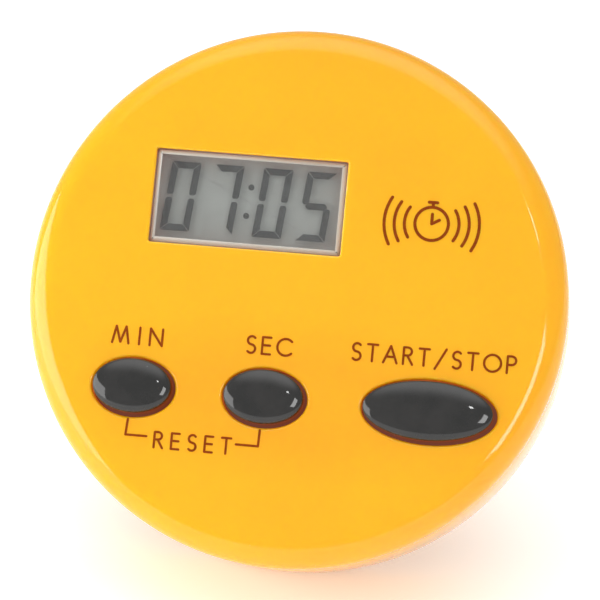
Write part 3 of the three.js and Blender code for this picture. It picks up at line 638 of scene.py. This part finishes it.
def rear_shell():
    ROUND = 0.22
    high = PARTING - SEAM
    profile = [(0, 0), *arc(RADIUS - HEEL, HEEL, HEEL, -90, 0, 20)]
    profile += arc(RADIUS - ROUND, high - ROUND, ROUND, 0, 90, 4)
    profile += [(TONGUE["outer"], high), (TONGUE["outer"], TONGUE["top"]), (TONGUE["inner"], TONGUE["top"])]
    profile += [(TONGUE["inner"], PARTING - 1), (INNER, PARTING - 1.7)]
    profile += [*arc(31.5, 3.5, 1.5, 0, -90, 6), (0, WALL)]
    shell = turned("rear_shell", profile)

    side = RECESS["half"] + RECESS["wall"]
    end = BAY["x"] + BAY["wall"]
    floor = 0.5
    ribs = [box(-15.9, 15.9, HINGE["y"] - 2.4, HINGE["y"] + 2.4, floor, 4.4)]
    ribs.append(slab("rib", oval(RECESS["half"], -10, 6.2), floor, 4.2))
    ribs += [slab("rib", oval(x, y, 3.4, sides=40), floor, 8.4, soft_high=0.2) for x, y in PILLARS]
    ribs.append(slab("rib", oval(BUZZER["x"], BUZZER["y"], BUZZER["radius"] + 1), floor, 4.4, soft_high=0.2))
    ribs.append(box(-end, end, BAY["y1"] - 1.2, BAY["y1"], 3.2, 12.5))
    for s in (-1, 1):
        ribs.append(box(*sorted((s * BAY["x"], s * end)), BAY["y0"], BAY["y1"], floor, BAY["top"]))
        ribs.append(box(*sorted((s * 25.2, s * 29)), BAY["y0"], 26, floor, 4.4))
    inside = turned("inside", [(0, 0.2), (INNER + 0.1, 0.2), (INNER + 0.1, 18.8), (0, 18.8)])
    block = combine(box(-side, side, -RADIUS, BAY["y0"], floor, RECESS["roof"]), ribs, "UNION")
    combine(block, [inside], "INTERSECT")
    combine(shell, [block], "UNION")

    slot = DOOR["half"] + GAP
    groove = slot + DOOR["tongue"]
    deep = DOOR["thick"] + GAP
    past = RADIUS + 5
    back = {"surface": back_height, "side": -1}
    pin = STAND["pin"] + GAP
    reach = STAND["reach"] + GAP
    cuts = [
        drill(recess_outline, RECESS["depth"], 0.4, **back),
        drill(oval(RECESS["half"], -10, 5), 3, 0.4, **back),
        rod(HINGE["y"], HINGE["z"], pin, -reach, reach),
        drill(rounded(-slot, slot, DOOR["y0"] - GAP, past, 0.4), deep, 0.25, **back),
        box(-groove, groove, DOOR["y0"] - GAP, past, 1.3, deep),
        turned("seat", [(0, 2.7), (BUZZER["radius"] + GAP, 2.7), (BUZZER["radius"] + GAP, 5), (0, 5)], 64,
               BUZZER["x"], BUZZER["y"]),
        turned("well", [(0, WALL), (5.2, WALL), (5.2, 5), (0, 5)], 64, BUZZER["x"], BUZZER["y"]),
        below_table(TIMER),
    ]
    for x, y in PILLARS:
        cuts.append(drill(oval(x, y, 2.5, sides=48), 2.6, 0.25, **back))
        cuts.append(turned("shaft", [(0, 1), (1.4, 1), (1.4, 9), (0, 9)], 32, x, y))
    ring = [(0.0, 0.0)] + [(3 * math.cos(math.pi / 3 * i), 3 * math.sin(math.pi / 3 * i)) for i in range(6)]
    cuts += [drill(oval(BUZZER["x"] + x, BUZZER["y"] + y, 0.6, sides=24), 3, 0.2, **back) for x, y in ring]
    return combine(shell, cuts)


show(front_shell(), "housing", FACE_LOOK, ["front_housing"])
show(rear_shell(), "housing", LOOKS["yellow_plastic"], ["rear_housing"])

# ---- display -----------------------------------------------------------------------------------------


def lens():
    """The clear window: a flange behind the wall and a raised middle with a sloping edge."""
    SLOPE = 0.55
    low, high, lip = (LENS_FLANGE[key] for key in ("z0", "z1", "lip"))
    outline = rounded(**SCREEN, corner=0.45)
    levels = [(lip - 0.1, low), (lip, low + 0.1), (lip, high), (-0.15, high)]
    levels += [(-0.15, LENS_TOP - SLOPE), (-0.19, LENS_TOP - SLOPE + 0.08)]
    levels += [(-0.1 - SLOPE, LENS_TOP - 0.05), (-0.2 - SLOPE, LENS_TOP)]
    return loft("window", [[(x, y, z) for x, y in outline(grow)] for grow, z in levels], 25)


def plate(name, x0, x1, y0, y1, z0, z1):
    """A thin flat sheet with its edges eased."""
    return slab(name, rounded(x0, x1, y0, y1, 0.12, 3), z0, z1, 0.03, 0.03, 25)


DIGIT = {"width": 3.8, "height": 9.1, "bar": 0.87, "lean": math.tan(math.radians(5.5))}
LIT = {"0": "abcdef", "5": "acdfg", "7": "abc"}


def digit(x, y, lit):
    """Outlines of the lit bars of a leaning seven-bar digit, whose top left corner is at (x, y)."""
    MITRE = 0.07
    width, height, bar = DIGIT["width"], DIGIT["height"], DIGIT["bar"]
    middle = height / 2
    end = middle + 0.22
    top = [(MITRE, height), (bar + MITRE, height - bar)]
    top += [(width - bar - MITRE, height - bar), (width - MITRE, height)]
    upright = [(0, height - MITRE), (0, end + 0.3), (0.1, end + 0.1), (0.25, end), (bar - 0.2, end)]
    upright += [(bar - 0.06, end + 0.1), (bar, end + 0.3), (bar, height - bar - MITRE)]
    half = bar / 2
    waist = [(0.42, middle), (0.85, middle - half), (width - 0.85, middle - half), (width - 0.42, middle)]
    waist += [(width - 0.85, middle + half), (0.85, middle + half)]

    def flip(points, across, over):
        turned_points = [(width - u if across else u, height - v if over else v) for u, v in points]
        return turned_points if across == over else turned_points[::-1]

    bars = {
        "a": top,
        "b": flip(upright, True, False),
        "c": flip(upright, True, True),
        "d": flip(top, False, True),
        "e": flip(upright, False, True),
        "f": upright,
        "g": waist,
    }
    return [[(x + u + DIGIT["lean"] * (v - height), y - height + v) for u, v in bars[key]] for key in lit]


def spot(x, y, radius, sides=20):
    return [(x + radius * math.cos(2 * math.pi * i / sides), y + radius * math.sin(2 * math.pi * i / sides))
            for i in range(sides)]


def segments():
    """The dark bars of 07:05 and the colon, between the two glasses."""
    TOP = 16.45
    STARTS = {-17.82: "0", -12.16: "7", -5.76: "0", -0.06: "5"}
    low, high = LAYERS["rear"][1] + 0.015, LAYERS["front"][0] - 0.015
    outlines = [bar for x, figure in STARTS.items() for bar in digit(x, TOP, LIT[figure])]
    outlines += [spot(-7.24, 13.77, 0.4), spot(-7.57, 10.0, 0.4)]
    return inlay("segments", outlines, lambda x, y: low, lambda x, y: high)


def segment_ink():
    """Dark grey, slightly see-through."""
    look = Look("segment_ink")
    cloud = look.ramp(look.noise(1.5, 3.0), 0.3, 0.7)
    look.set(Base_Color=look.mix(cloud, srgb(14, 17, 15), srgb(20, 23, 21)))
    look.set(Roughness=look.ramp(look.noise(1), 0.3, 0.7, 0.5, 0.65), Alpha=0.98)
    look.bump((look.noise(0.2), 0.001))
    return look.material


film_ends = (GLASS["x0"] + 0.25, GLASS["x1"] - 0.25)
show(lens(), "housing", LOOKS["clear_plastic"], ["lcd_window"])
show(plate("polariser", *film_ends, 4.8, GLASS["y1"] - 0.2, *LAYERS["polariser"]), "housing",
     LOOKS["polariser_film"], ["front_polariser"])
show(plate("glass_front", *GLASS.values(), *LAYERS["front"]), "housing",
     LOOKS["display_glass"], ["front_glass"])
show(plate("glass_rear", GLASS["x0"], GLASS["x1"], LEDGE_Y, GLASS["y1"], *LAYERS["rear"]), "housing",
     LOOKS["display_glass"], ["rear_glass"])
show(plate("reflector_sheet", *film_ends, 5.2, GLASS["y1"] - 0.2, *LAYERS["reflector"]), "housing",
     LOOKS["reflector_film"], ["reflector"])
show(segments(), "housing", segment_ink())

# ---- buttons -----------------------------------------------------------------------------------------


def button(name, a, b, x):
    """An oval cap with a low smooth dome, a retaining flange and a foot."""
    FOOT, FLANGE, LIP, RISE = 19.75, (20.7, 21.7), 1.2, 1.1
    STEPS = 22
    x, y = x - 0.18, BUTTON_Y + 0.18  # it hangs loose in its hole
    outline = oval(x, y, a - 0.35, b - 0.35, 128)
    levels = [(-0.1, FOOT), (0, FOOT + 0.1), (0, FLANGE[0])]
    levels += [(LIP, FLANGE[0]), (LIP, FLANGE[1]), (0, FLANGE[1])]
    rings = [[(px, py, z) for px, py in outline(grow)] for grow, z in levels]
    for k in range(STEPS + 1):
        share = math.cos(math.pi / 2 * k / (STEPS + 0.5))
        z = BUTTON_TOP - RISE + RISE * max(0.0, 1 - share**2.5) ** (1 / 2.4)
        rings.append([(x + (px - x) * share, y + (py - y) * share, z) for px, py in outline()])
    return loft(name, rings)


for name, size in BUTTONS.items():
    show(button(f"{name}_cap", **size), f"{name}_button", LOOKS["charcoal_plastic"],
         [f"{name}_button"])

SHEET = {"low": 17.1, "high": 17.9, "half_height": 5.6, "reach": 26.1, "dome_top": 19.4}


def dome(name, x, a, b):
    """A hollow silicone dome under a button, which the button pushes flat."""

    def rings(levels, wide, tall):
        outlines = [(oval(x, BUTTON_Y, wide * share, tall * share)(), z) for share, z in levels]
        return [[(px, py, z) for px, py in outline] for outline, z in outlines]

    top = SHEET["dome_top"]
    skin = [(1.0, SHEET["low"]), (0.99, SHEET["high"]), (0.86, top - 0.25), (0.83, top - 0.06), (0.77, top)]
    hollow = [(1.0, SHEET["low"] - 1), (0.9, SHEET["high"]), (0.76, top - 0.9), (0.7, top - 0.8)]
    body = loft(name, rings(skin, a - 1, b))
    return combine(body, [loft("hollow", rings(hollow, (a - 1) * 0.88, b * 0.86))])


def keypad_sheet():
    reach, half = SHEET["reach"], SHEET["half_height"]
    outline = rounded(-reach, reach, BUTTON_Y - half, BUTTON_Y + half, half - 0.01, 16)
    sheet = slab("keypad_sheet", outline, SHEET["low"], SHEET["high"], 0.12, 0.12)
    low, high = SHEET["low"] - 1, SHEET["high"] + 1
    return combine(sheet, [slab("hole", oval(b["x"], BUTTON_Y, b["a"] - 0.98, b["b"] + 0.02), low, high)
                           for b in BUTTONS.values()])


show(keypad_sheet(), "housing", LOOKS["silicone"], ["keypad_membrane"])
for name, size in BUTTONS.items():
    soft = show(dome(f"keypad_dome_{name}", **size), "housing", LOOKS["silicone"],
                ["keypad_membrane"])
    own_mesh(soft)

# ---- printing on the face ----------------------------------------------------------------------------

PEN = 0.3  # width of the printed lines


def stroke(points, width=PEN):
    """Overlapping polygons that cover a pen line through some points."""
    half = width / 2
    shapes = [spot(x, y, half, 12) for x, y in points]
    for (x0, y0), (x1, y1) in zip(points, points[1:]):
        length = math.hypot(x1 - x0, y1 - y0)
        sx, sy = half * (y1 - y0) / length, half * (x0 - x1) / length
        shapes.append([(x0 + sx, y0 + sy), (x1 + sx, y1 + sy), (x1 - sx, y1 - sy), (x0 - sx, y0 - sy)])
    return shapes


GLYPHS = {  # width and pen lines, for capitals one unit high
    "M": (1.0, [[(0, 0), (0.2, 1), (0.5, 0.06), (0.8, 1), (1, 0)]]),
    "I": (0.0, [[(0, 0), (0, 1)]]),
    "N": (0.74, [[(0, 0), (0, 1), (0.74, 0), (0.74, 1)]]),
    "S": (0.54, [arc(0.29, 0.755, 0.245, 40, 262, 10) + arc(0.27, 0.255, 0.255, 88, -140, 10)]),
    "E": (0.5, [[(0.5, 1), (0, 1), (0, 0), (0.5, 0)], [(0, 0.52), (0.46, 0.52)]]),
    "C": (0.86, [arc(0.5, 0.5, 0.5, 44, 316, 18)]),
    "T": (0.6, [[(0, 1), (0.6, 1)], [(0.3, 1), (0.3, 0)]]),
    "A": (0.8, [[(0, 0), (0.4, 1), (0.8, 0)], [(0.15, 0.36), (0.65, 0.36)]]),
    "R": (0.55, [[(0, 0), (0, 1), *arc(0.24, 0.76, 0.24, 90, -90, 8), (0, 0.52)], [(0.22, 0.52), (0.55, 0)]]),
    "P": (0.5, [[(0, 0), (0, 1), *arc(0.25, 0.745, 0.255, 90, -90, 8), (0, 0.49)]]),
    "O": (1.0, [arc(0.5, 0.5, 0.5, 0, 360, 26)]),
    "/": (0.62, [[(0, -0.12), (0.62, 1.08)]]),
}


def printed(name, polygons):
    """Ink on the crowned face."""
    ink = inlay(name, polygons, lambda x, y: face_height(x, y) - 0.03, lambda x, y: face_height(x, y) + 0.012)
    return show(ink, "housing", INK)


def lettering(name, text, x, y, width, height):
    """Capitals centred on (x, y), spread out to the given width."""
    tall = height - PEN
    letters = [GLYPHS[letter] for letter in text]
    space = (width - PEN - tall * sum(wide for wide, _ in letters)) / (len(letters) - 1)
    left = x - (width - PEN) / 2
    polygons = []
    for wide, lines in letters:
        for line in lines:
            polygons += stroke([(left + tall * u, y + tall * (v - 0.5)) for u, v in line])
        left += tall * wide + space
    return printed(name, polygons)


def reset_bracket():
    """Lines that tie the two smaller buttons together."""
    left = [(-19.9, -17.75), (-20.05, -19.75), (-17.3, -19.75)]
    other = [(-2.8, -17.75), (-2.85, -19.8), (-5.7, -19.8)]
    return printed("reset_bracket", stroke(left) + stroke(other))


def pictogram(x, y):
    """A ringing clock."""
    RIM = 2.15
    lines = [arc(x, y, RIM, 0, 360, 32), [(x, y + 1.25), (x, y), (x + 0.95, y + 0.55)]]
    lines += [[(x - 0.55, y + RIM + 0.62), (x + 0.55, y + RIM + 0.62)], [(x, y + RIM), (x, y + RIM + 0.62)]]
    for k, radius in enumerate((3.5, 4.8, 6.1)):
        spread = 34 - 2 * k
        lines += [arc(x, y, radius, -spread, spread, 10), arc(x, y, radius, 180 - spread, 180 + spread, 10)]
    return printed("clock_pictogram", [shape for line in lines for shape in stroke(line, 0.4)])


lettering("label_min", "MIN", -19.7, -7.0, 6.8, 2.45)
lettering("label_sec", "SEC", -2.6, -6.9, 6.1, 2.45)
lettering("label_start_stop", "START/STOP", 18.5, -6.66, 21.2, 2.45)
lettering("label_reset", "RESET", -11.3, -20.1, 10.2, 2.3)
reset_bracket()
pictogram(16.7, 10.5)

# ---- battery, its contacts and its door --------------------------------------------------------------


def cell():
    radius, body, nub = CELL["radius"], CELL["body"], CELL["nub_radius"]
    profile = [(0, 0.3), (radius - 1.6, 0.3), (radius - 1.2, 0), *arc(radius - 0.4, 0.4, 0.4, -90, 0, 5)]
    profile += [*arc(radius - 0.5, body - 0.5, 0.5, 0, 90, 5), (nub + 0.5, body), (nub + 0.35, body - 0.15)]
    tip = body + CELL["nub"]
    profile += [(nub, body - 0.1), *arc(nub - 0.3, tip - 0.3, 0.3, 0, 90, 4), (0, tip)]
    place = Matrix.Translation(Vector((CELL["x0"], CELL["y"], CELL["z"])) * MM)
    return moved(turned("cell", profile, 96), place @ Matrix.Rotation(math.pi / 2, 4, "Y"))


def leaf(x0, x1):
    """A sprung metal strip with a solder tab."""
    y0, y1, z0, z1 = (CONTACT[key] for key in ("y0", "y1", "z0", "z1"))
    tab = box(x0, x1, y0 + 0.3, y0 + 2.8, z1 - 0.5, z1 + 1.6, 0.1)
    return combine(box(x0, x1, y0, y1, z0, z1, 0.12), [tab], "UNION")


def spring():
    """The conical spring that presses on the flat end of the cell."""
    TURNS, STEPS = 3, 36
    start, end = -CONTACT["x"] - 0.1, CELL["x0"] - GAP - 0.4
    points = []
    for i in range(TURNS * STEPS + 1):
        share = i / (TURNS * STEPS)
        angle = 2 * math.pi * TURNS * share
        wide = 4 - 1.8 * share
        y, z = CELL["y"] + wide * math.cos(angle), CELL["z"] + wide * math.sin(angle)
        points.append((start + (end - start) * share, y, z))
    return tube("spring", points, 0.35)


def door():
    """A T-section slide whose outer end carries on the rounded back."""
    half, thick = DOOR["half"], DOOR["thick"]
    wide = half + DOOR["tongue"]
    past = RADIUS + 5
    cover = slab("door", rounded(-half, half, DOOR["y0"], past, 0.6), 0, thick, 0.3)
    tongue = slab("tongue", rounded(-wide, wide, DOOR["y0"], past, 0.4), DOOR["lip"], thick, 0.1, 0.1)
    combine(cover, [tongue], "UNION")
    profile = [(0, 0), *arc(RADIUS - HEEL, HEEL, HEEL, -90, 0, 20), (RADIUS, thick), (0, thick)]
    combine(cover, [turned("envelope", profile)], "INTERSECT")
    hollow = rounded(1.5 - half, half - 1.5, DOOR["y0"] + 1.5, 21.5, 0.5)
    cuts = [slab("hollow", hollow, DOOR["lip"], thick + 1)]
    for i in range(4):
        groove = rounded(0.8 * i - 7, 7 - 0.8 * i, 23.4 + 1.8 * i, 24.2 + 1.8 * i, 0.39)
        cuts.append(drill(groove, 0.4, 0.12, back_height, -1))
    return combine(cover, cuts)


show(cell(), "housing", LOOKS["cell_jacket"], ["battery_cell"])
minus = combine(leaf(-CONTACT["x"] - CONTACT["thick"], -CONTACT["x"]), [spring()], "UNION")
minus.name = "contact_minus"
show(minus, "housing", LOOKS["plated_steel"], ["negative_contact"])
plus = leaf(CONTACT["x"], CONTACT["x"] + CONTACT["thick"])
plus.name = "contact_plus"
show(plus, "housing", LOOKS["plated_steel"], ["positive_contact"])
show(door(), "battery_door", LOOKS["yellow_plastic"], ["battery_door"])

# ---- stand -------------------------------------------------------------------------------------------


def paddle_outline(grow=0.0):
    """The stand's outline about its hinge: straight sides and a round foot."""
    half = STAND["half"] + grow
    reach = RECESS["radius"] - 0.5 + grow
    foot = math.degrees(math.asin(half / reach))
    return [(half, grow), (-half, grow), *arc(0, -HINGE["y"], reach, 270 - foot, 270 + foot, 32)]


def paddle():
    half = STAND["half"]
    leg = slab("stand_leg", paddle_outline, STAND["back"], STAND["front"], 0.45, 0.45)
    joins = [
        rod(0, 0, STAND["knuckle"], -half, half, 64, 0.3),
        box(-half, half, -1, 2.2, -0.9, 0.3, 0.2),
        rod(0, 0, STAND["pin"], -STAND["reach"], STAND["reach"], 48, 0.25),
    ]
    combine(leg, joins, "UNION")
    pocket = drill(oval(0, MAGNET["y"], MAGNET["radius"] + GAP, sides=96), MAGNET["front"] + GAP, 0.2,
                   lambda x, y: STAND["back"], -1)
    return combine(leg, [pocket, below_table(LEG)])


def magnet():
    radius, soft = MAGNET["radius"], 0.35
    low, high = MAGNET["back"], MAGNET["front"]
    profile = [(0, low), *arc(radius - soft, low + soft, soft, -90, 0, 5)]
    profile += [*arc(radius - soft, high - soft, soft, 0, 90, 5), (0, high)]
    return turned("magnet_disc", profile, 96, 0, MAGNET["y"])


show(paddle(), "stand", LOOKS["yellow_plastic"], ["stand"], LEG)
show(magnet(), "stand", LOOKS["magnet"], ["magnet"], LEG)

# ---- screws ------------------------------------------------------------------------------------------


def screw(name, x, y, head, low, high, shank, tip):
    """A pan-head screw, head down, with a cross recess."""
    PITCH = 0.8
    profile = [(0, low), (head * 0.6, low), (head * 0.85, low + 0.25)]
    profile += [(head, low + 0.7), (head, high), (shank, high)]
    z = high + 0.4
    while z < tip - 2 * shank - PITCH:
        profile += [(shank * 0.8, z), (shank, z + PITCH / 2)]
        z += PITCH
    body = turned(name, profile + [(shank * 0.8, tip - 2 * shank), (0, tip)], 48, x, y)
    arm, wide = head * 0.5, head * 0.11
    slots = [box(x - arm, x + arm, y - wide, y + wide, low - 1, low + 0.7)]
    slots.append(box(x - wide, x + wide, y - arm, y + arm, low - 1, low + 0.7))
    return combine(body, slots)


for i, (x, y) in enumerate(PILLARS, 1):
    show(screw(f"case_screw_{i}", x, y, 2.2, 0.9, 2.3, 1.0, 16), "housing",
         LOOKS["plated_steel"], [f"housing_screw_{i}"])

# ---- the frame's own pieces --------------------------------------------------------------------------

for part in frame["record"]["subparts"]:
    node = frame["nodes"][part["node"]]
    node.data.materials.clear()
    node.data.materials.append(LOOKS[part["material_slot"]])

# ---- floor, light and camera -------------------------------------------------------------------------


def studio_floor():
    look = Look("studio_floor")
    cloud = look.ramp(look.noise(60, 3.0), 0.3, 0.7)
    look.set(Base_Color=look.mix(cloud, srgb(246, 246, 245), srgb(242, 242, 242)))
    look.set(Roughness=look.ramp(look.noise(8, 3.0), 0.3, 0.7, 0.6, 0.75))
    look.set(Emission_Color=(1.0, 1.0, 1.0, 1.0), Emission_Strength=0.25)
    look.bump((look.noise(1.2, 3.0), 0.01))
    floor = turned("floor", [(0, -10), (1990, -10), (2000, -5), (2000, 0), (0, 0)], 96)
    floor.data.materials.append(look.material)


def softbox(name, azimuth, elevation, distance, width, height, radiance, roll=0.0):
    """A rectangular light facing the timer. Sizes are in metres, angles in degrees, azimuth to the right."""
    centre = (cad_box[0] + cad_box[1]) / 2
    a, e = math.radians(azimuth), math.radians(elevation)
    towards = Vector((math.sin(a) * math.cos(e), -math.cos(a) * math.cos(e), math.sin(e)))
    lamp = bpy.data.lights.new(name, "AREA")
    lamp.shape = "RECTANGLE"
    lamp.size, lamp.size_y = width, height
    lamp.energy = radiance * math.pi * width * height
    obj = bpy.data.objects.new(name, lamp)
    turn = towards.to_track_quat("Z", "Y").to_matrix().to_4x4() @ Matrix.Rotation(math.radians(roll), 4, "Z")
    obj.matrix_world = Matrix.Translation(centre + towards * distance) @ turn
    bpy.context.scene.collection.objects.link(obj)
    obj.visible_camera = False
    return obj


def studio_light():
    softbox("window", -65, 11, distance=0.3, width=0.37, height=0.16, radiance=3.7)
    softbox("strip", 30, 23, distance=1.2, width=0.30, height=0.38, radiance=6.5, roll=-34)
    softbox("small", 14, 43.4, distance=1.2, width=0.05, height=0.05, radiance=20.0)
    world = bpy.data.worlds.new("studio")
    world.use_nodes = True
    nodes, links = world.node_tree.nodes, world.node_tree.links
    height = nodes.new("ShaderNodeSeparateXYZ")
    links.new(nodes.new("ShaderNodeTexCoord").outputs["Generated"], height.inputs[0])
    glow = nodes.new("ShaderNodeMapRange")
    glow.interpolation_type = "SMOOTHSTEP"
    links.new(height.outputs["Z"], glow.inputs[0])
    BRIGHTENS, OVERHEAD = 0.7, 1.0  # heights in the sky, where 0 is the horizon
    LOW_SKY, TOP_SKY = 0.62, 2.2  # strengths at those heights
    for socket, value in enumerate((BRIGHTENS, OVERHEAD, LOW_SKY, TOP_SKY), 1):
        glow.inputs[socket].default_value = value
    links.new(glow.outputs[0], nodes["Background"].inputs["Strength"])
    nodes["Background"].inputs["Color"].default_value = (1.0, 1.0, 1.0, 1.0)
    bpy.context.scene.world = world


def main_camera():
    """Looks at the face from a little to its lower right, rolled a little."""
    DISTANCE = 400.0
    FRAME_WIDTH = 76.8  # millimetres across the picture at the face
    SENSOR = 36.0
    ROLL = math.radians(4.75)
    OFFSET = (0.72, -0.74)  # of the picture's middle from the middle of the face, in millimetres
    away = (TIMER.to_3x3() @ Vector((0.1045, -0.1045, 0.989))).normalized()
    across = (right - away * right.dot(away)).normalized()
    across = across * math.cos(ROLL) + away.cross(across) * math.sin(ROLL)
    over = away.cross(across)
    target = TIMER @ Vector((0, 0, DEPTH * MM))
    place = target + (away * DISTANCE + across * OFFSET[0] + over * OFFSET[1]) * MM
    data = bpy.data.cameras.new("camera")
    data.sensor_width = SENSOR
    data.lens = SENSOR * DISTANCE / FRAME_WIDTH
    data.clip_start = 0.01
    camera = bpy.data.objects.new("camera", data)
    camera.matrix_world = Matrix.Translation(place) @ Matrix((across, over, away)).transposed().to_4x4()
    bpy.context.scene.collection.objects.link(camera)
    bpy.context.scene.camera = camera


studio_floor()
studio_light()
main_camera()
bpy.context.scene.view_settings.view_transform = "Standard"
bpy.context.scene.cycles.transparent_max_bounces = 32  # the display is behind four clear pieces
